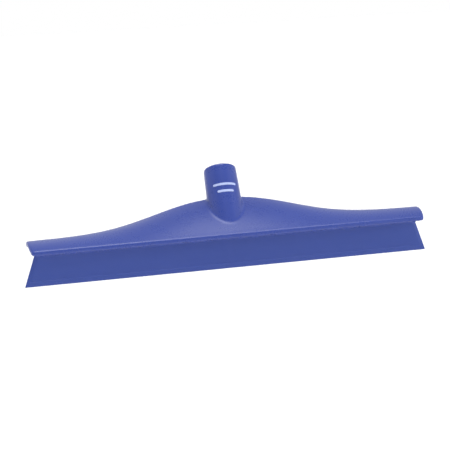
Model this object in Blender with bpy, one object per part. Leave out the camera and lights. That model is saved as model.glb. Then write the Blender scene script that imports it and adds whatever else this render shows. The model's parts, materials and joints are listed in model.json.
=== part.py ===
"""One-piece floor squeegee head.

A rigid moulded body (arched hood, blade carrier and inclined handle socket) holds one moulded
rubber blade.  X runs along the wiping edge, -Y is the front, +Z is up.  The origin is the middle
of the flat wiping edge.  All sizes are in metres.
"""

import math

import bmesh
import bpy
from mathutils import Vector

# ---- overall sizes -------------------------------------------------------------------------
HEAD_WIDTH = 0.400          # length of the wiping edge
BLADE_FREE_HEIGHT = 0.0300  # from the flex line down to the wiping edge
CARRIER_HEIGHT = 0.0138     # from the flex line up to the top of the hood
SOCKET_LENGTH = 0.0560      # from the level of the hood's top to the rim, along the socket
SOCKET_TILT = math.radians(33.3)   # lean of the handle socket away from the blade plane
SOCKET_FOOT_BACK = 0.0122   # where the socket's centre line crosses the level of the hood's top

# ---- hood ----------------------------------------------------------------------------------
HOOD_FRONT = 0.0216         # reach of the hood nose in front of the blade
HOOD_BACK = 0.0189          # reach of the hood's back edge behind the blade
HOOD_THICK = 0.0052         # wall of the hood
HOOD_END_SHORT = 0.0040     # the hood ends this much inside each end of the wiping edge
HOOD_CROWN_BACK = 0.0005    # the arch is highest just behind the middle of the blade
HOOD_FRONT_DROP = 0.0036    # fall of the arch from the crown to the nose
HOOD_BACK_DROP = 0.0037     # fall of the arch from the crown to the back edge
HOOD_END_TAPER = 0.0018     # straight narrowing of each end towards the nose
HOOD_END_ROUND = 0.0049     # extra narrowing of each rounded front corner
HOOD_EDGE_ROUND = 0.0018    # rounding of the hood's end edges

# ---- raised ridge that carries the socket ----------------------------------------------------
RIDGE_SHARE = 0.5125        # rise of the back edge at mid-length, as a share of the socket length
RIDGE_SPREAD = 0.0906       # half-length over which the ridge falls to about a third
RIDGE_SHAPE = 2.25          # shape of the bell curve along the hood
RIDGE_START = -0.0190       # the hood begins to rise here, just behind the nose
RIDGE_FRONT_POWER = 1.27    # above 1: the front face steepens towards the rear
RIDGE_BACK_POWER = 6.0      # the rear face turns up later, which leaves the wall thicker below

# ---- rubber blade ----------------------------------------------------------------------------
BLADE_FLARE = 0.367         # lengthening of each blade end per unit of height
BLADE_ROOT_RADIUS = 0.0032  # half-round root that sits in the carrier
BLADE_LOW_HALF_THICK = 0.0017
BLADE_EDGE_HALF_THICK = 0.0010
BLADE_BEVEL_HEIGHT = 0.0050
BLADE_END_ROUND = 0.0007
SEAT_GAP = 0.0003           # clearance between rubber root and carrier

# ---- blade carrier under the hood ------------------------------------------------------------
CARRIER_WALL = 0.0020       # plastic on each side of the rubber root
CARRIER_STRAIGHT = 0.0045   # height of the carrier's upright sides
CARRIER_FLARE = 0.0035      # widening of each side where the carrier runs into the hood
CARRIER_OVERLAP = 0.0039    # the carrier stops this far below the top of the hood, inside its wall

# ---- handle socket -------------------------------------------------------------------------
BORE_MINOR_RADIUS = 0.0100  # crest radius of the internal handle thread
THREAD_DEPTH = 0.0014
THREAD_PITCH = 0.0050
BORE_LEAD_IN = 0.0020       # length of the plain flared entry
BORE_FLOOR = 0.0200         # part of the socket length left solid below the bore
SOCKET_WALL = 0.0047        # wall outside the thread roots, at the rim
SOCKET_DRAFT = 0.033        # growth of the radius for each metre down from the rim
SOCKET_RIM_ROUND = 0.0016
SOCKET_HEEL_BACK = 0.0040   # the underside of the socket starts here, inside the hood
SOCKET_HEEL_DROP = 0.0040   # below the level of the hood's top
SOCKET_HEEL_SLOPE = 0.15    # and climbs gently to the rear

# ---- sizes that follow from the ones above ----------------------------------------------------
HOOD_WIDTH = HEAD_WIDTH - 2 * HOOD_END_SHORT
HOOD_CROWN_HEIGHT = BLADE_FREE_HEIGHT + CARRIER_HEIGHT
RIDGE_RISE = RIDGE_SHARE * SOCKET_LENGTH
CARRIER_HALF_THICK = BLADE_ROOT_RADIUS + SEAT_GAP + CARRIER_WALL
SOCKET_RADIUS = BORE_MINOR_RADIUS + THREAD_DEPTH + SOCKET_WALL
BORE_DEPTH = SOCKET_LENGTH - BORE_FLOOR

# ---- fineness of the curved surfaces ---------------------------------------------------------
HOOD_STATIONS = 48
ARCH_STEPS = 16
EDGE_STEPS = 6
CORNER_STEPS = 3
SOCKET_SEGMENTS = 56
BORE_SEGMENTS = 32
BORE_RINGS_PER_TURN = 6
ROOT_STEPS = 12
SHARP_ANGLE = math.radians(32.0)
CUT_MARGIN = 0.0040

BODY_COLOUR = (0.062, 0.085, 0.345, 1.0)
RUBBER_COLOUR = (0.052, 0.076, 0.320, 1.0)


def clear_scene():
    for item in list(bpy.data.objects):
        bpy.data.objects.remove(item, do_unlink=True)


def make_material(name, colour, roughness):
    material = bpy.data.materials.new(name)
    material.use_nodes = True
    shader = material.node_tree.nodes["Principled BSDF"]
    shader.inputs["Base Color"].default_value = colour
    shader.inputs["Roughness"].default_value = roughness
    shader.inputs["Metallic"].default_value = 0.0
    return material


def closed_object(name, rings, material=None):
    """Skin a row of equal closed rings and cap both ends."""
    mesh_data = bmesh.new()
    rows = [[mesh_data.verts.new(point) for point in ring] for ring in rings]
    count = len(rows[0])
    for lower, upper in zip(rows, rows[1:]):
        for index in range(count):
            following = (index + 1) % count
            mesh_data.faces.new((lower[index], lower[following], upper[following], upper[index]))
    mesh_data.faces.new(rows[0])
    mesh_data.faces.new(list(reversed(rows[-1])))
    bmesh.ops.recalc_face_normals(mesh_data, faces=mesh_data.faces)
    mesh = bpy.data.meshes.new(name)
    mesh_data.to_mesh(mesh)
    mesh_data.free()
    mesh.shade_smooth()
    mesh.set_sharp_from_angle(angle=SHARP_ANGLE)
    item = bpy.data.objects.new(name, mesh)
    bpy.context.scene.collection.objects.link(item)
    if material is not None:
        mesh.materials.append(material)
    return item


def mark_as_tool(item):
    item.hide_render = True
    item.display_type = "WIRE"


def combine(target, tool, operation):
    mark_as_tool(tool)
    modifier = target.modifiers.new(tool.name, "BOOLEAN")
    modifier.object = tool
    modifier.operation = operation
    modifier.solver = "EXACT"


# ---- hood shape ------------------------------------------------------------------------------

def arch_height(back):
    """Height of the middle of the hood wall at a distance behind the blade plane."""
    crown = HOOD_CROWN_HEIGHT - HOOD_THICK / 2
    offset = back - HOOD_CROWN_BACK
    if offset < 0:
        span = HOOD_FRONT - HOOD_THICK / 2 + HOOD_CROWN_BACK
        return crown - HOOD_FRONT_DROP * (offset / span) ** 2
    span = HOOD_BACK - HOOD_THICK / 2 - HOOD_CROWN_BACK
    return crown - HOOD_BACK_DROP * (offset / span) ** 2


def arch_normal(back):
    step = HOOD_THICK / 100
    slope = (arch_height(back + step) - arch_height(back - step)) / (2 * step)
    return Vector((0.0, -slope, 1.0)).normalized()


def ridge_rise(along):
    return RIDGE_RISE * math.exp(-abs(along / RIDGE_SPREAD) ** RIDGE_SHAPE)


def ridge_share(back, power):
    """Share of the ridge rise taken by a point of the hood wall."""
    rear = HOOD_BACK - HOOD_THICK / 2
    share = (back - RIDGE_START) / (rear - RIDGE_START)
    return max(0.0, share) ** power


def hood_half_width(back):
    share = min(1.0, max(0.0, (HOOD_BACK - back) / (HOOD_BACK + HOOD_FRONT)))
    rounding = 1.0 - math.sqrt(max(0.0, 1.0 - share ** 2))
    return HOOD_WIDTH / 2 - HOOD_END_TAPER * share - HOOD_END_ROUND * rounding


def hood_wall_point(back, side, inset, rise):
    """A point on the upper (side 1) or lower (side -1) face of the hood wall."""
    power = RIDGE_FRONT_POWER if side > 0 else RIDGE_BACK_POWER
    middle = Vector((0.0, back, arch_height(back)))
    lift = socket_axis() * rise * ridge_share(back, power)
    return middle + arch_normal(back) * side * (HOOD_THICK / 2 - inset) + lift


def hood_edge_points(back, first_side, inset, rise):
    """The half-round edge that joins the two faces of the wall."""
    middle = Vector((0.0, back, arch_height(back)))
    normal = arch_normal(back)
    outward = Vector((0.0, normal.z, -normal.y)) * first_side
    lift = socket_axis() * rise * ridge_share(back, 1.0)
    radius = HOOD_THICK / 2 - inset
    points = []
    for index in range(1, EDGE_STEPS):
        turn = math.pi * index / EDGE_STEPS
        direction = normal * first_side * math.cos(turn) + outward * math.sin(turn)
        points.append(middle + direction * radius + lift)
    return points


def hood_ring(along, end_share, inset):
    """Outline of the hood wall at one place along its length.

    end_share runs from -1 at the left end to 1 at the right end.
    """
    rise = ridge_rise(along)
    front = HOOD_THICK / 2 - HOOD_FRONT
    rear = HOOD_BACK - HOOD_THICK / 2
    steps = [front + (rear - front) * index / ARCH_STEPS for index in range(ARCH_STEPS + 1)]
    points = [hood_wall_point(back, 1, inset, rise) for back in steps]
    points += hood_edge_points(rear, 1, inset, rise)
    points += [hood_wall_point(back, -1, inset, rise) for back in reversed(steps)]
    points += hood_edge_points(front, -1, inset, rise)
    return [place_along(point, along, end_share) for point in points]


def place_along(point, along, end_share):
    """Spread the rings so that the last one follows the rounded plan of the hood."""
    shortfall = HOOD_WIDTH / 2 - hood_half_width(min(point.y, HOOD_BACK))
    return Vector((along - end_share ** 5 * shortfall, point.y, point.z))


def hood_rings():
    rings = []
    half = HOOD_WIDTH / 2
    for index in range(CORNER_STEPS):
        turn = math.pi / 2 * index / CORNER_STEPS
        inset = HOOD_EDGE_ROUND * (1.0 - math.sin(turn))
        along = half - HOOD_EDGE_ROUND * (1.0 - math.cos(turn))
        rings.append(hood_ring(-along, -1.0, inset))
    straight = half - HOOD_EDGE_ROUND
    for index in range(HOOD_STATIONS + 1):
        share = 2 * index / HOOD_STATIONS - 1
        rings.append(hood_ring(share * straight, share, 0.0))
    for index in reversed(range(CORNER_STEPS)):
        turn = math.pi / 2 * index / CORNER_STEPS
        inset = HOOD_EDGE_ROUND * (1.0 - math.sin(turn))
        along = half - HOOD_EDGE_ROUND * (1.0 - math.cos(turn))
        rings.append(hood_ring(along, 1.0, inset))
    return rings


# ---- blade carrier ---------------------------------------------------------------------------

def blade_half_width(height):
    return HEAD_WIDTH / 2 - BLADE_FLARE * height


def carrier_rings():
    """Strip under the hood; it widens where it runs into the arch."""
    wide = CARRIER_HALF_THICK + CARRIER_FLARE
    top = HOOD_CROWN_HEIGHT - CARRIER_OVERLAP
    side = [
        (CARRIER_HALF_THICK, BLADE_FREE_HEIGHT),
        (CARRIER_HALF_THICK, BLADE_FREE_HEIGHT + CARRIER_STRAIGHT),
        (wide, top),
    ]
    outline = side + [(-back, height) for back, height in reversed(side)]
    rings = []
    for end in (-1, 1):
        rings.append([Vector((end * blade_half_width(height), back, height)) for back, height in outline])
    return rings


def seat_rings():
    """Half-round groove for the rubber root, open at the bottom and at both ends."""
    radius = BLADE_ROOT_RADIUS + SEAT_GAP
    outline = []
    for index in range(ROOT_STEPS + 1):
        turn = math.pi * index / ROOT_STEPS
        outline.append((radius * math.cos(turn), BLADE_FREE_HEIGHT + radius * math.sin(turn)))
    outline.append((-radius, BLADE_FREE_HEIGHT - CUT_MARGIN))
    outline.append((radius, BLADE_FREE_HEIGHT - CUT_MARGIN))
    reach = HEAD_WIDTH / 2
    return [[Vector((end * reach, back, height)) for back, height in outline] for end in (-1, 1)]


# ---- handle socket ---------------------------------------------------------------------------

def socket_axis():
    """Direction from the hood up to the socket rim."""
    return Vector((0.0, math.sin(SOCKET_TILT), math.cos(SOCKET_TILT)))


def socket_point(depth, radius, turn):
    """A point at a depth below the rim plane, measured along the tilted axis."""
    foot = Vector((0.0, SOCKET_FOOT_BACK, HOOD_CROWN_HEIGHT))
    across = Vector((0.0, -math.cos(SOCKET_TILT), math.sin(SOCKET_TILT)))
    sideways = Vector((math.cos(turn) * radius, 0.0, 0.0))
    return foot + socket_axis() * (SOCKET_LENGTH - depth) + sideways + across * math.sin(turn) * radius


def above_heel(point):
    plane = HOOD_CROWN_HEIGHT - SOCKET_HEEL_DROP + SOCKET_HEEL_SLOPE * (point.y - SOCKET_HEEL_BACK)
    return point.z - plane


def socket_heel_point(turn):
    """Where one straight line of the drafted socket meets the sloping underside."""
    start = socket_point(0.0, SOCKET_RADIUS, turn)
    length = 2 * SOCKET_LENGTH
    end = socket_point(length, SOCKET_RADIUS + SOCKET_DRAFT * length, turn)
    share = above_heel(start) / (above_heel(start) - above_heel(end))
    return start.lerp(end, share)


def socket_rings():
    turns = [2 * math.pi * index / SOCKET_SEGMENTS for index in range(SOCKET_SEGMENTS)]
    rings = []
    for index in range(CORNER_STEPS + 2):
        roll = math.pi / 2 * index / (CORNER_STEPS + 1)
        depth = SOCKET_RIM_ROUND * (1.0 - math.sin(roll))
        radius = SOCKET_RADIUS - SOCKET_RIM_ROUND * (1.0 - math.cos(roll))
        rings.append([socket_point(depth, radius + SOCKET_DRAFT * depth, turn) for turn in turns])
    rings.reverse()
    rings.append([socket_heel_point(turn) for turn in turns])
    return rings


def thread_radius(depth, turn):
    """Radius of the rounded coarse internal thread."""
    phase = 2 * math.pi * depth / THREAD_PITCH - turn
    swell = 0.5 + 0.5 * math.sin(phase)
    flare = max(0.0, 1.0 - depth / BORE_LEAD_IN)
    fade = min(1.0, (BORE_DEPTH - depth) / THREAD_PITCH)
    groove = max(swell * fade, flare)
    return BORE_MINOR_RADIUS + THREAD_DEPTH * groove


def bore_rings():
    turns = [2 * math.pi * index / BORE_SEGMENTS for index in range(BORE_SEGMENTS)]
    mouth = BORE_MINOR_RADIUS + THREAD_DEPTH
    rings = [[socket_point(-CUT_MARGIN, mouth, turn) for turn in turns]]
    steps = round(BORE_DEPTH / THREAD_PITCH * BORE_RINGS_PER_TURN)
    for index in range(steps + 1):
        depth = BORE_DEPTH * index / steps
        rings.append([socket_point(depth, thread_radius(depth, turn), turn) for turn in turns])
    return rings


# ---- rubber blade ----------------------------------------------------------------------------

def blade_outline(inset):
    """Section of the blade about its flex line: half-round root, taper, thin bevelled edge."""
    low = BLADE_BEVEL_HEIGHT - BLADE_FREE_HEIGHT
    bottom = -BLADE_FREE_HEIGHT
    side = []
    for index in range(ROOT_STEPS // 2 + 1):
        turn = math.pi / 2 * (1.0 - 2 * index / ROOT_STEPS)
        radius = BLADE_ROOT_RADIUS - inset
        side.append((radius * math.cos(turn), radius * math.sin(turn)))
    side.append((BLADE_LOW_HALF_THICK - inset, low))
    side.append((BLADE_EDGE_HALF_THICK - inset / 2, bottom))
    mirrored = [(-back, height) for back, height in reversed(side[1:])]
    return side + mirrored


def blade_rings():
    rings = []
    for end in (-1, 1):
        pair = []
        for inset, shortfall in ((BLADE_END_ROUND, 0.0), (0.0, BLADE_END_ROUND)):
            ring = []
            for back, height in blade_outline(inset):
                reach = blade_half_width(height + BLADE_FREE_HEIGHT) - shortfall
                ring.append(Vector((end * reach, back, height)))
            pair.append(ring)
        rings += pair if end < 0 else list(reversed(pair))
    return rings


def build_body():
    material = make_material("body_plastic", BODY_COLOUR, 0.38)
    body = closed_object("hood_and_socket", hood_rings(), material)
    combine(body, closed_object("carrier_shape", carrier_rings()), "UNION")
    combine(body, closed_object("socket_shape", socket_rings()), "UNION")
    combine(body, closed_object("bore_cutter", bore_rings()), "DIFFERENCE")
    combine(body, closed_object("seat_cutter", seat_rings()), "DIFFERENCE")
    return body


def build_blade():
    material = make_material("blade_rubber", RUBBER_COLOUR, 0.5)
    blade = closed_object("rubber_blade", blade_rings(), material)
    blade.location = (0.0, 0.0, BLADE_FREE_HEIGHT)
    return blade


clear_scene()
build_body()
build_blade()
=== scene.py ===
import json
import math

import bmesh
import bpy
import numpy as np
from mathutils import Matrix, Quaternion, Vector


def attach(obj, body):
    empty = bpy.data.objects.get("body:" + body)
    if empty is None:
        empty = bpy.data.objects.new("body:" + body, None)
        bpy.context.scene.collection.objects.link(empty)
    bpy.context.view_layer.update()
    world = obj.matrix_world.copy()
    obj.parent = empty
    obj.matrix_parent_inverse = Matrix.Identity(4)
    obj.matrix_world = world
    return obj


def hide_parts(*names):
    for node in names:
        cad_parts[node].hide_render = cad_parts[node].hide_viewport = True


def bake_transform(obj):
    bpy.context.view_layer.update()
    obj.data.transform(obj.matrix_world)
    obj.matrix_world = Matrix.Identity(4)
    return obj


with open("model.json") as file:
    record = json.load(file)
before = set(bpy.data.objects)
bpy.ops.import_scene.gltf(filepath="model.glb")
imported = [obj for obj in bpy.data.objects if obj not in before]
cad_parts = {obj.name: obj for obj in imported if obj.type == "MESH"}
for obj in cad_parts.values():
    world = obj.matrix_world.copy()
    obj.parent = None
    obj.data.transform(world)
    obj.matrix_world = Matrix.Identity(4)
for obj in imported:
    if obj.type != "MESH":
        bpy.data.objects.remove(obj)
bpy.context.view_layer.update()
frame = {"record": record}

# ---- sizes of the real head, in metres ----------------------------------------------------------
# Across is x, back is y and up is z, with the wiping edge at height 0. These are the CAD part's sizes.
FLEX_HEIGHT = 0.0300          # where the blade leaves the plastic and bends
CROWN_HEIGHT = 0.0438         # top of the hood, away from the ridge
HOOD_FRONT, HOOD_BACK, HOOD_THICK = 0.0216, 0.0189, 0.0052
HOOD_HALF = 0.1960
CROWN_BACK = 0.0005           # how far behind the blade the hood is highest
FRONT_DROP, BACK_DROP = 0.0036, 0.0037
END_TAPER, END_ROUND, EDGE_ROUND = 0.0018, 0.0049, 0.0018
RIDGE_RISE, RIDGE_SPREAD, RIDGE_SHAPE = 0.0287, 0.0906, 2.25
RIDGE_START, FRONT_POWER, BACK_POWER = -0.0190, 1.27, 6.0
BLADE_HALF, BLADE_FLARE = 0.2000, 0.367
ROOT_HALF_THICK, LOW_HALF_THICK, EDGE_HALF_THICK = 0.0032, 0.0017, 0.0010
BEVEL_HEIGHT = 0.0050         # where the faces turn into the fine bevel
CARRIER_HALF, CARRIER_STRAIGHT, CARRIER_FLARE, CARRIER_OVERLAP = 0.0055, 0.0045, 0.0035, 0.0039
SEAT_RADIUS = 0.0035          # groove in the carrier for the blade's root
SOCKET_RADIUS, SOCKET_DRAFT, RIM_ROUND = 0.0161, 0.033, 0.0016
HEEL_BACK, HEEL_DROP, HEEL_SLOPE = 0.0040, 0.0040, 0.15
BORE_DEPTH, BORE_MINOR, THREAD_DEPTH, THREAD_PITCH, LEAD_IN = 0.0360, 0.0100, 0.0014, 0.0050, 0.0020

# ---- sizes that only the visual model has ---------------------------------------------------------
ROOT_RADIUS = 0.00345         # the blade's root fills its seat, so that no gap shows
FACE_HOLLOW = 0.00015         # the blade's long faces sag inwards by this much
BEVEL_HOLLOW = 0.00022
EDGE_BREAK = 0.00025          # small corner along the wiping edge
END_BEVEL, END_THIN = 0.0042, 0.45
PRINT_DEPTH = 0.0255          # from the rim down to the middle of the print
PRINT_BARS = ((-0.0030, 0.0122, 0.0012), (0.0042, 0.0084, 0.0012))     # down, half length, half height
PRINT_LAYERS = ((0.0, 0.00002), (0.0, 0.00006), (0.00015, 0.00008), (0.0008, 0.00008))  # shrink, lift

VOXEL = 0.00085               # grain of the moulded body's mesh
FILLET_PASSES = 12            # smoothing where the socket runs into the hood
FILLET_FULL, FILLET_NONE = 0.0012, 0.0030      # distance from the socket's wall
FILLET_TOP, FILLET_BOTTOM = 0.017, 0.026       # depth below the rim over which it fades in
SKIN_PASSES = 3               # light smoothing everywhere

FLOOR_HEIGHT = -0.36          # far below, so that no shadow shows, as in the photograph
FLOOR_HALF = 9.0

socket_mount = next(m for m in frame["record"]["mounts"] if m["name"] == "handle_socket")
RIM = Vector(socket_mount["pos_m"])
AXIS = Vector(socket_mount["axis"]).normalized()
ACROSS = Vector((0.0, -AXIS.z, AXIS.y))


# ---- mesh helpers --------------------------------------------------------------------------------

def add_skin(shape, rings):
    """Join a row of equal closed rings into one closed surface, with a cap at each end."""
    rows = [[shape.verts.new(point) for point in ring] for ring in rings]
    count = len(rows[0])
    for lower, upper in zip(rows, rows[1:]):
        for i in range(count):
            j = (i + 1) % count
            shape.faces.new((lower[i], lower[j], upper[j], upper[i]))
    shape.faces.new(rows[0])
    shape.faces.new(list(reversed(rows[-1])))


def to_object(name, shape):
    mesh = bpy.data.meshes.new(name)
    shape.to_mesh(mesh)
    shape.free()
    item = bpy.data.objects.new(name, mesh)
    bpy.context.scene.collection.objects.link(item)
    return item


def skin(name, rings):
    shape = bmesh.new()
    add_skin(shape, rings)
    bmesh.ops.recalc_face_normals(shape, faces=shape.faces)
    return to_object(name, shape)


def bake_modifiers(item):
    """Replace an object's mesh by its shape with modifiers applied."""
    graph = bpy.context.evaluated_depsgraph_get()
    mesh = bpy.data.meshes.new_from_object(item.evaluated_get(graph))
    item.modifiers.clear()
    item.data = mesh
    return item


def boolean(target, tool, operation):
    """Join the tool to the target or cut it away, and remove the tool."""
    step = target.modifiers.new(operation, "BOOLEAN")
    step.object = tool
    step.operation = operation
    step.solver = "EXACT"
    bake_modifiers(target)
    bpy.data.objects.remove(tool, do_unlink=True)


def vertex_places(mesh):
    places = np.empty(len(mesh.vertices) * 3)
    mesh.vertices.foreach_get("co", places)
    return places.reshape(-1, 3)


def relax(mesh, weights, passes):
    """Even out a mesh, more where weights are high: each vertex moves towards its neighbours' middle."""
    places = vertex_places(mesh)
    count = len(places)
    ends = np.empty(len(mesh.edges) * 2, dtype=np.int64)
    mesh.edges.foreach_get("vertices", ends)
    ends = ends.reshape(-1, 2)
    near = np.bincount(ends.ravel(), minlength=count)[:, None]
    share = weights[:, None] / 2
    for _ in range(passes):
        total = np.zeros_like(places)
        for axis in range(3):
            total[:, axis] += np.bincount(ends[:, 0], places[ends[:, 1], axis], count)
            total[:, axis] += np.bincount(ends[:, 1], places[ends[:, 0], axis], count)
        places += share * (total / near - places)
    mesh.vertices.foreach_set("co", places.ravel())
    mesh.update()


def fade(value, full, none):
    """1 below full, 0 above none, smooth between."""
    t = np.clip((none - value) / (none - full), 0.0, 1.0)
    return t * t * (3 - 2 * t)


# ---- hood ----------------------------------------------------------------------------------------

def arch(back):
    """Height of the middle of the hood's wall, without the ridge."""
    crown = CROWN_HEIGHT - HOOD_THICK / 2
    offset = back - CROWN_BACK
    if offset < 0:
        return crown - FRONT_DROP * (offset / (HOOD_FRONT - HOOD_THICK / 2 + CROWN_BACK)) ** 2
    return crown - BACK_DROP * (offset / (HOOD_BACK - HOOD_THICK / 2 - CROWN_BACK)) ** 2


def arch_normal(back):
    step = 0.00005     # half the distance over which the slope is taken
    slope = (arch(back + step) - arch(back - step)) / (2 * step)
    return Vector((0.0, -slope, 1.0)).normalized()


def ridge_share(back, power):
    """How much of the ridge's rise the wall has: 0 near the front, 1 at the back edge."""
    rear = HOOD_BACK - HOOD_THICK / 2
    return max(0.0, (back - RIDGE_START) / (rear - RIDGE_START)) ** power


def wall_point(back, side, inset, rise):
    """A point on the hood's top (side 1) or its underside (side -1)."""
    power = FRONT_POWER if side > 0 else BACK_POWER
    middle = Vector((0.0, back, arch(back)))
    out = arch_normal(back) * side * (HOOD_THICK / 2 - inset)
    return middle + out + AXIS * rise * ridge_share(back, power)


def edge_points(back, side, inset, rise, steps):
    """The half round along the hood's back edge (side 1) or its front edge (side -1)."""
    middle = Vector((0.0, back, arch(back))) + AXIS * rise * ridge_share(back, 1.0)
    normal = arch_normal(back)
    outward = Vector((0.0, normal.z, -normal.y)) * side
    points = []
    for i in range(1, steps):
        turn = math.pi * i / steps
        spoke = normal * side * math.cos(turn) + outward * math.sin(turn)
        points.append(middle + spoke * (HOOD_THICK / 2 - inset))
    return points


def end_shortfall(back):
    """How much shorter the hood is towards its front, where its ends are rounded off."""
    share = min(1.0, max(0.0, (HOOD_BACK - back) / (HOOD_BACK + HOOD_FRONT)))
    return END_TAPER * share + END_ROUND * (1.0 - math.sqrt(max(0.0, 1.0 - share ** 2)))


def hood_ring(along, share, inset, steps=40, edge_steps=12):
    """The hood's section at one place; share is -1 at the left end and 1 at the right end."""
    rise = RIDGE_RISE * math.exp(-abs(along / RIDGE_SPREAD) ** RIDGE_SHAPE)
    front, rear = HOOD_THICK / 2 - HOOD_FRONT, HOOD_BACK - HOOD_THICK / 2
    backs = [front + (rear - front) * i / steps for i in range(steps + 1)]
    points = [wall_point(back, 1, inset, rise) for back in backs]
    points += edge_points(rear, 1, inset, rise, edge_steps)
    points += [wall_point(back, -1, inset, rise) for back in reversed(backs)]
    points += edge_points(front, -1, inset, rise, edge_steps)
    pull = share ** 5     # hardly any away from the ends
    return [Vector((along - pull * end_shortfall(min(p.y, HOOD_BACK)), p.y, p.z)) for p in points]


def hood_rings(stations=150, corner=5):
    straight = HOOD_HALF - EDGE_ROUND

    def end_ring(side, i):
        turn = math.pi / 2 * i / corner
        along = straight + EDGE_ROUND * math.cos(turn)
        return hood_ring(side * along, float(side), EDGE_ROUND * (1 - math.sin(turn)))

    rings = [end_ring(-1, i) for i in range(corner)]
    for i in range(stations + 1):
        share = 2 * i / stations - 1
        rings.append(hood_ring(share * straight, share, 0.0))
    rings += [end_ring(1, i) for i in reversed(range(corner))]
    return rings


# ---- carrier, seat and socket ----------------------------------------------------------------------

def blade_reach(height):
    """Half the blade's length at a height: its ends flare out towards the wiping edge."""
    return BLADE_HALF - BLADE_FLARE * height


def extrude(name, outline, reach):
    """Run a section of (back, height) points from end to end; reach gives half the length."""
    return skin(name, [[Vector((end * reach(h), b, h)) for b, h in outline] for end in (-1, 1)])


def carrier_shape():
    side = [
        (CARRIER_HALF, FLEX_HEIGHT),
        (CARRIER_HALF, FLEX_HEIGHT + CARRIER_STRAIGHT),
        (CARRIER_HALF + CARRIER_FLARE, CROWN_HEIGHT - CARRIER_OVERLAP),
    ]
    return extrude("carrier", side + [(-b, h) for b, h in reversed(side)], blade_reach)


def seat_shape(steps=24, below=0.004):
    outline = []
    for i in range(steps + 1):
        turn = math.pi * i / steps
        outline.append((SEAT_RADIUS * math.cos(turn), FLEX_HEIGHT + SEAT_RADIUS * math.sin(turn)))
    outline += [(-SEAT_RADIUS, FLEX_HEIGHT - below), (SEAT_RADIUS, FLEX_HEIGHT - below)]
    return extrude("seat", outline, lambda height: BLADE_HALF)


def socket_point(depth, radius, turn):
    """A point round the socket's axis, at a depth below the rim."""
    sideways = Vector((math.cos(turn) * radius, 0, 0))
    return RIM - AXIS * depth + sideways + ACROSS * math.sin(turn) * radius


def heel_point(turn, far=0.1):
    """Where a line down the socket's wall meets the sloping plane that ends it inside the hood."""
    def above(point):
        return point.z - (CROWN_HEIGHT - HEEL_DROP + HEEL_SLOPE * (point.y - HEEL_BACK))

    start = socket_point(0.0, SOCKET_RADIUS, turn)
    end = socket_point(far, SOCKET_RADIUS + SOCKET_DRAFT * far, turn)
    return start.lerp(end, above(start) / (above(start) - above(end)))


def socket_shape(segments=128, roll_steps=6):
    turns = [2 * math.pi * i / segments for i in range(segments)]
    rings = []
    for i in range(roll_steps + 1):
        roll = math.pi / 2 * i / roll_steps
        depth = RIM_ROUND * (1 - math.sin(roll))
        radius = SOCKET_RADIUS - RIM_ROUND * (1 - math.cos(roll)) + SOCKET_DRAFT * depth
        rings.append([socket_point(depth, radius, turn) for turn in turns])
    rings.reverse()
    rings.append([heel_point(turn) for turn in turns])
    return skin("socket", rings)


def thread_radius(depth, turn):
    """The rounded thread, which runs out at the bottom and opens to a plain flare at the rim."""
    swell = 0.5 + 0.5 * math.sin(2 * math.pi * depth / THREAD_PITCH - turn)
    run_out = min(1.0, (BORE_DEPTH - depth) / THREAD_PITCH)
    flare = max(0.0, 1.0 - depth / LEAD_IN)
    return BORE_MINOR + THREAD_DEPTH * max(swell * run_out, flare)


def bore_shape(segments=72, rings_per_turn=14, proud=0.004):
    turns = [2 * math.pi * i / segments for i in range(segments)]
    rings = [[socket_point(-proud, BORE_MINOR + THREAD_DEPTH, turn) for turn in turns]]
    steps = round(BORE_DEPTH / THREAD_PITCH * rings_per_turn)
    for i in range(steps + 1):
        depth = BORE_DEPTH * i / steps
        rings.append([socket_point(depth, thread_radius(depth, turn), turn) for turn in turns])
    return skin("bore", rings)


def build_body():
    """The single hard moulding, with the soft fillets that a mould gives it."""
    body = skin("body_moulding", hood_rings())
    boolean(body, carrier_shape(), "UNION")
    boolean(body, socket_shape(), "UNION")
    boolean(body, bore_shape(), "DIFFERENCE")
    boolean(body, seat_shape(), "DIFFERENCE")
    remesh = body.modifiers.new("voxels", "REMESH")
    remesh.mode = "VOXEL"
    remesh.voxel_size = VOXEL
    bake_modifiers(body)
    mesh = body.data
    from_rim = vertex_places(mesh) - np.array(RIM)
    depth = -(from_rim @ np.array(AXIS))
    radial = from_rim + depth[:, None] * np.array(AXIS)
    wall = SOCKET_RADIUS + SOCKET_DRAFT * np.maximum(depth, 0.0)
    outside = np.linalg.norm(radial, axis=1) - wall
    at_wall = fade(np.abs(outside), FILLET_FULL, FILLET_NONE)
    below = fade(-depth, -FILLET_BOTTOM, -FILLET_TOP)
    relax(mesh, at_wall * below, FILLET_PASSES)
    relax(mesh, np.full(len(mesh.vertices), 1.0), SKIN_PASSES)
    mesh.shade_smooth()
    return body


# ---- rubber blade ------------------------------------------------------------------------------------

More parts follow.
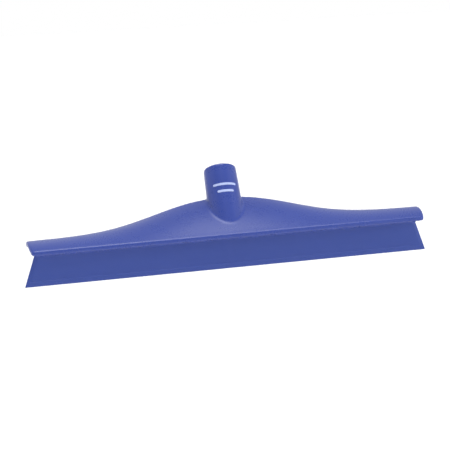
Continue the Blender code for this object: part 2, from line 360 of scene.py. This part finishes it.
def blade_outline(inset, root_steps=8, face_steps=26):
    """Closed section: half-round root, tapering faces, fine bevel down to the wiping edge."""
    side = []
    radius = ROOT_RADIUS - inset
    for i in range(root_steps + 1):
        turn = math.pi / 2 * (1 - i / root_steps)
        side.append((radius * math.cos(turn), FLEX_HEIGHT + radius * math.sin(turn)))
    for i in range(1, face_steps + 1):
        share = i / face_steps
        taper = (LOW_HALF_THICK - ROOT_HALF_THICK) * share
        half = ROOT_HALF_THICK + taper - FACE_HOLLOW * math.sin(math.pi * share)
        side.append((half - inset, FLEX_HEIGHT + (BEVEL_HEIGHT - FLEX_HEIGHT) * share))
    for share in (0.06, 0.3, 0.6, 0.86):
        taper = (EDGE_HALF_THICK + BEVEL_HOLLOW - LOW_HALF_THICK) * share
        half = LOW_HALF_THICK - BEVEL_HOLLOW + taper
        side.append((half - inset * (1 - share / 2), BEVEL_HEIGHT * (1 - share)))
    side.append((EDGE_HALF_THICK - inset / 2, EDGE_BREAK))
    side.append((EDGE_HALF_THICK - EDGE_BREAK - inset / 2, 0.0))
    return side + [(-b, h) for b, h in reversed(side[1:])]


def build_blade(stations=120, rounding=0.0006, corner=3):
    """One rubber lip; the last few millimetres of each end are bevelled thinner."""
    bevel_shares = (0.25, 0.5, 0.75, 0.94, 1.0, 1.06)

    def ring(side, from_end, inset, shortfall):
        thin = END_THIN + (1 - END_THIN) * min(1.0, from_end / END_BEVEL)
        return [Vector((side * (blade_reach(h) - from_end - shortfall), b * thin, h))
                for b, h in blade_outline(inset)]

    def end(side):
        rows = []
        for i in range(corner):
            turn = math.pi / 2 * i / corner
            rows.append(ring(side, 0.0, rounding * (1 - math.sin(turn)), rounding * (1 - math.cos(turn))))
        rows += [ring(side, END_BEVEL * share, 0.0, 0.0) for share in bevel_shares]
        return rows

    inner = BLADE_HALF - END_BEVEL * bevel_shares[-1]
    rings = end(-1)
    for i in range(1, stations):
        share = 2 * i / stations - 1
        rings.append([Vector((share * (inner - BLADE_FLARE * h), b, h)) for b, h in blade_outline(0.0)])
    rings += list(reversed(end(1)))
    blade = skin("rubber_lip", rings)
    blade.data.shade_smooth()
    blade.data.set_sharp_from_angle(angle=math.radians(40))
    return blade


# ---- generic print on the socket -----------------------------------------------------------------------

def on_socket(across, down, lift):
    """A point on the front of the socket's wall, raised by lift."""
    depth = PRINT_DEPTH + down
    radius = SOCKET_RADIUS + SOCKET_DRAFT * depth
    return socket_point(depth, radius + lift, math.pi / 2 + across / radius)


def bar_outline(straight, half_tall, steps=28, round_steps=8):
    """A bar with round ends, as (across, up) points."""
    outline = []
    for side in (1, -1):
        for i in range(round_steps + 1):
            turn = math.pi * i / round_steps - math.pi / 2
            reach = straight + half_tall * math.cos(turn)
            outline.append((side * reach, side * half_tall * math.sin(turn)))
        for i in range(1, steps):
            outline.append((side * straight * (1 - 2 * i / steps), side * half_tall))
    return outline


def build_print():
    """Two plain pale bars where the real socket carries a printed mark; an ink film 0.06 mm thick."""
    shape = bmesh.new()
    for down, half_long, half_tall in PRINT_BARS:
        straight = half_long - half_tall
        rings = []
        for shrink, lift in PRINT_LAYERS:
            flat = max(0.0, 1 - shrink / half_tall)
            ring = []
            for across, up in bar_outline(straight, half_tall):
                core = max(-straight, min(straight, across))
                ring.append(on_socket(core + (across - core) * flat, down - up * flat, lift))
            rings.append(ring)
        add_skin(shape, rings)
    caps = [face for face in shape.faces if len(face.verts) > 4]
    bmesh.ops.triangulate(shape, faces=caps, ngon_method="BEAUTY")
    bmesh.ops.recalc_face_normals(shape, faces=shape.faces)
    return to_object("socket_print", shape)


# ---- materials -----------------------------------------------------------------------------------------

class Nodes:
    """A short way to write a node tree."""

    def __init__(self, name):
        self.material = bpy.data.materials.new(name)
        self.material.use_nodes = True
        self.tree = self.material.node_tree
        self.shader = self.tree.nodes["Principled BSDF"]

    def add(self, kind, inputs=None, **settings):
        node = self.tree.nodes.new(kind)
        for key, value in settings.items():
            setattr(node, key, value)
        for key, value in (inputs or {}).items():
            self.feed(node, key, value)
        return node

    def feed(self, node, key, value):
        if isinstance(value, bpy.types.NodeSocket):
            self.tree.links.new(value, node.inputs[key])
        else:
            node.inputs[key].default_value = value

    def noise(self, coordinates, scale, detail):
        node = self.add("ShaderNodeTexNoise", {"Vector": coordinates, "Scale": scale, "Detail": detail,
                                               "Roughness": 0.55})
        return node.outputs["Fac"]

    def ramp(self, value, low, high, to_low=0.0, to_high=1.0):
        node = self.add("ShaderNodeMapRange", {"Value": value, "From Min": low, "From Max": high,
                                               "To Min": to_low, "To Max": to_high})
        return node.outputs["Result"]

    def mix(self, share, first, second):
        node = self.add("ShaderNodeMix", data_type="RGBA")
        self.feed(node, 0, share)
        self.feed(node, 6, first)
        self.feed(node, 7, second)
        return node.outputs[2]

    def maths(self, operation, first, second):
        node = self.add("ShaderNodeMath", operation=operation)
        self.feed(node, 0, first)
        self.feed(node, 1, second)
        return node.outputs[0]

    def bump(self, height, distance, strength, normal=None):
        inputs = {"Height": height, "Distance": distance, "Strength": strength}
        if normal is not None:
            inputs["Normal"] = normal
        return self.add("ShaderNodeBump", inputs).outputs["Normal"]


def stretched(nodes, places, along):
    """Coordinates that make a pattern run along the head's length, the more the smaller along is."""
    scale = (along, 1.0, 1.0)
    return nodes.add("ShaderNodeMapping", {"Vector": places, "Scale": scale}).outputs["Vector"]


def body_material():
    """Moulded plastic: faint flow clouds and specks, a painted highlight that makes convex edges paler in
    patches, a slight skin texture.
    """
    nodes = Nodes("body_plastic_look")
    places = nodes.add("ShaderNodeTexCoord").outputs["Object"]
    flow = stretched(nodes, places, 0.25)
    cloud = nodes.ramp(nodes.noise(flow, 26.0, 4.0), 0.3, 0.7)
    speck = nodes.ramp(nodes.noise(places, 900.0, 2.0), 0.35, 0.65)
    colour = nodes.mix(cloud, (0.0228, 0.051, 0.290, 1), (0.0278, 0.058, 0.314, 1))
    colour = nodes.mix(nodes.maths("MULTIPLY", speck, 0.10), colour, (0.034, 0.066, 0.33, 1))
    # painted highlight: convex edges, picked out by pointiness, are mixed towards a paler blue in noise
    # patches
    edge = nodes.ramp(nodes.add("ShaderNodeNewGeometry").outputs["Pointiness"], 0.52, 0.60)
    patches = nodes.ramp(nodes.noise(places, 130.0, 3.0), 0.35, 0.75, 0.05, 0.35)
    edge_highlight = nodes.maths("MULTIPLY", edge, patches)
    colour = nodes.mix(edge_highlight, colour, (0.060, 0.095, 0.40, 1))
    nodes.feed(nodes.shader, "Base Color", colour)
    uneven = nodes.ramp(nodes.noise(places, 60.0, 4.0), 0.3, 0.7, 0.24, 0.30)
    rough = nodes.maths("ADD", uneven, nodes.maths("MULTIPLY", speck, 0.03))
    nodes.feed(nodes.shader, "Roughness", rough)
    peel = nodes.bump(nodes.noise(places, 210.0, 2.0), 0.00008, 0.15)
    grain = nodes.bump(nodes.noise(places, 1500.0, 2.0), 0.00002, 0.10, peel)
    nodes.feed(nodes.shader, "Normal", grain)
    nodes.shader.inputs["IOR"].default_value = 1.49
    return nodes.material


def rubber_material():
    """Drawn rubber: long faint streaks, a paler worn strip along the wiping edge, duller than the body."""
    nodes = Nodes("blade_rubber_look")
    places = nodes.add("ShaderNodeTexCoord").outputs["Object"]
    drawn = stretched(nodes, places, 0.06)
    cloud = nodes.ramp(nodes.noise(drawn, 55.0, 4.0), 0.3, 0.7)
    colour = nodes.mix(cloud, (0.0205, 0.052, 0.282, 1), (0.0255, 0.059, 0.302, 1))
    height = nodes.add("ShaderNodeSeparateXYZ", {"Vector": places}).outputs["Z"]
    near_edge = nodes.ramp(height, 0.0030, 0.0, 0.0, 0.35)
    streaks = nodes.ramp(nodes.noise(drawn, 240.0, 3.0), 0.3, 0.7, 0.2, 1.0)
    worn = nodes.maths("MULTIPLY", near_edge, streaks)
    colour = nodes.mix(worn, colour, (0.045, 0.078, 0.34, 1))
    nodes.feed(nodes.shader, "Base Color", colour)
    rough = nodes.ramp(nodes.noise(places, 75.0, 4.0), 0.3, 0.7, 0.40, 0.50)
    nodes.feed(nodes.shader, "Roughness", rough)
    lines = nodes.bump(nodes.noise(drawn, 420.0, 3.0), 0.00005, 0.30)
    grain = nodes.bump(nodes.noise(places, 1800.0, 2.0), 0.00003, 0.35, lines)
    nodes.feed(nodes.shader, "Normal", grain)
    nodes.shader.inputs["IOR"].default_value = 1.47
    return nodes.material


def print_material():
    """Pale ink, worn thin in small patches."""
    nodes = Nodes("socket_print_look")
    places = nodes.add("ShaderNodeTexCoord").outputs["Object"]
    thin = nodes.ramp(nodes.noise(places, 700.0, 3.0), 0.52, 0.72, 0.0, 0.45)
    colour = nodes.mix(thin, (0.44, 0.52, 0.82, 1), (0.22, 0.28, 0.62, 1))
    nodes.feed(nodes.shader, "Base Color", colour)
    nodes.feed(nodes.shader, "Roughness", nodes.ramp(thin, 0.0, 0.45, 0.42, 0.60))
    nodes.feed(nodes.shader, "Normal", nodes.bump(nodes.noise(places, 1200.0, 2.0), 0.00003, 0.3))
    return nodes.material


def floor_material():
    nodes = Nodes("floor_look")
    places = nodes.add("ShaderNodeTexCoord").outputs["Object"]
    soft = nodes.ramp(nodes.noise(places, 0.7, 2.0), 0.3, 0.7)
    colour = nodes.mix(soft, (0.93, 0.93, 0.93, 1), (0.95, 0.95, 0.95, 1))
    nodes.feed(nodes.shader, "Base Color", colour)
    nodes.shader.inputs["Roughness"].default_value = 0.9
    return nodes.material


# ---- camera, floor and light -----------------------------------------------------------------------------

AZIMUTH, ELEVATION, ROLL = math.radians(-10.40), math.radians(14.26), math.radians(2.58)
DISTANCE, LENS, SENSOR = 1.0585, 86.31, 36.0     # metres, then millimetres
TARGET = Vector((0.0, 0.010, 0.040))
SHIFT = (-0.0065, 0.0018)

GLOW = 0.67     # light from every direction
PANELS = (      # aim, where the panel starts and is full as a cosine, strength
    ((0.0, 0.0, 1.0), 0.91, 0.99, 4.90),
    ((0.75, -0.62, 0.20), 0.78, 0.97, 1.30),
    ((-0.95, 0.10, 0.30), 0.75, 0.97, 0.30),
    ((0.95, 0.10, 0.30), 0.75, 0.97, 0.25),
    ((0.0, 0.87, 0.50), 0.90, 0.99, 0.20),
)


def make_camera():
    flat = math.cos(ELEVATION)
    back = Vector((math.sin(AZIMUTH) * flat, -math.cos(AZIMUTH) * flat, math.sin(ELEVATION)))
    camera = bpy.data.objects.new("camera", bpy.data.cameras.new("camera"))
    camera.data.lens = LENS
    camera.data.sensor_width = SENSOR
    camera.location = TARGET + back * DISTANCE
    camera.rotation_mode = "QUATERNION"
    camera.rotation_quaternion = (-back).to_track_quat("-Z", "Y") @ Quaternion((0, 0, 1), -ROLL)
    camera.data.shift_x, camera.data.shift_y = SHIFT
    bpy.context.scene.collection.objects.link(camera)
    bpy.context.scene.camera = camera


def make_floor():
    shape = bmesh.new()
    bmesh.ops.create_grid(shape, x_segments=8, y_segments=8, size=FLOOR_HALF)
    floor = to_object("floor", shape)
    floor.location = (0.0, 0.0, FLOOR_HEIGHT)
    floor.data.materials.append(floor_material())


def make_light():
    """A white studio: an even glow, a bright panel overhead, a softer one to the front right and weak
    ones at the sides and the back. The camera itself sees plain white."""
    world = bpy.data.worlds.new("studio")
    world.use_nodes = True
    nodes, links = world.node_tree.nodes, world.node_tree.links
    background = nodes["Background"]
    direction = nodes.new("ShaderNodeTexCoord").outputs["Generated"]

    def panel(aim, start, full, strength):
        dot = nodes.new("ShaderNodeVectorMath")
        dot.operation = "DOT_PRODUCT"
        links.new(direction, dot.inputs[0])
        dot.inputs[1].default_value = Vector(aim).normalized()
        share = nodes.new("ShaderNodeMapRange")
        share.interpolation_type = "SMOOTHSTEP"
        for key, value in (("From Min", start), ("From Max", full), ("To Min", 0.0), ("To Max", strength)):
            share.inputs[key].default_value = value
        links.new(dot.outputs["Value"], share.inputs["Value"])
        return share.outputs["Result"]

    glow = nodes.new("ShaderNodeValue").outputs[0]
    glow.default_value = GLOW
    total = glow
    for settings in PANELS:
        node = nodes.new("ShaderNodeMath")
        links.new(total, node.inputs[0])
        links.new(panel(*settings), node.inputs[1])
        total = node.outputs[0]
    seen = nodes.new("ShaderNodeLightPath").outputs["Is Camera Ray"]
    mix = nodes.new("ShaderNodeMix")
    links.new(seen, mix.inputs[0])
    links.new(total, mix.inputs[2])
    mix.inputs[3].default_value = 1.0
    links.new(mix.outputs[0], background.inputs["Strength"])
    background.inputs["Color"].default_value = (1.0, 1.0, 1.0, 1)
    bpy.context.scene.world = world
    bpy.context.scene.view_settings.view_transform = "Standard"


# ---- the scene -------------------------------------------------------------------------------------------

make_camera()
make_floor()
make_light()

body = build_body()
body.data.materials.clear()
body.data.materials.append(body_material())
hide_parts("hood_and_socket")
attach(body, "body")

mark = build_print()
mark.data.materials.append(print_material())
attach(mark, "body")

blade = build_blade()
blade.data.materials.append(rubber_material())
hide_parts("rubber_blade")
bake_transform(blade)
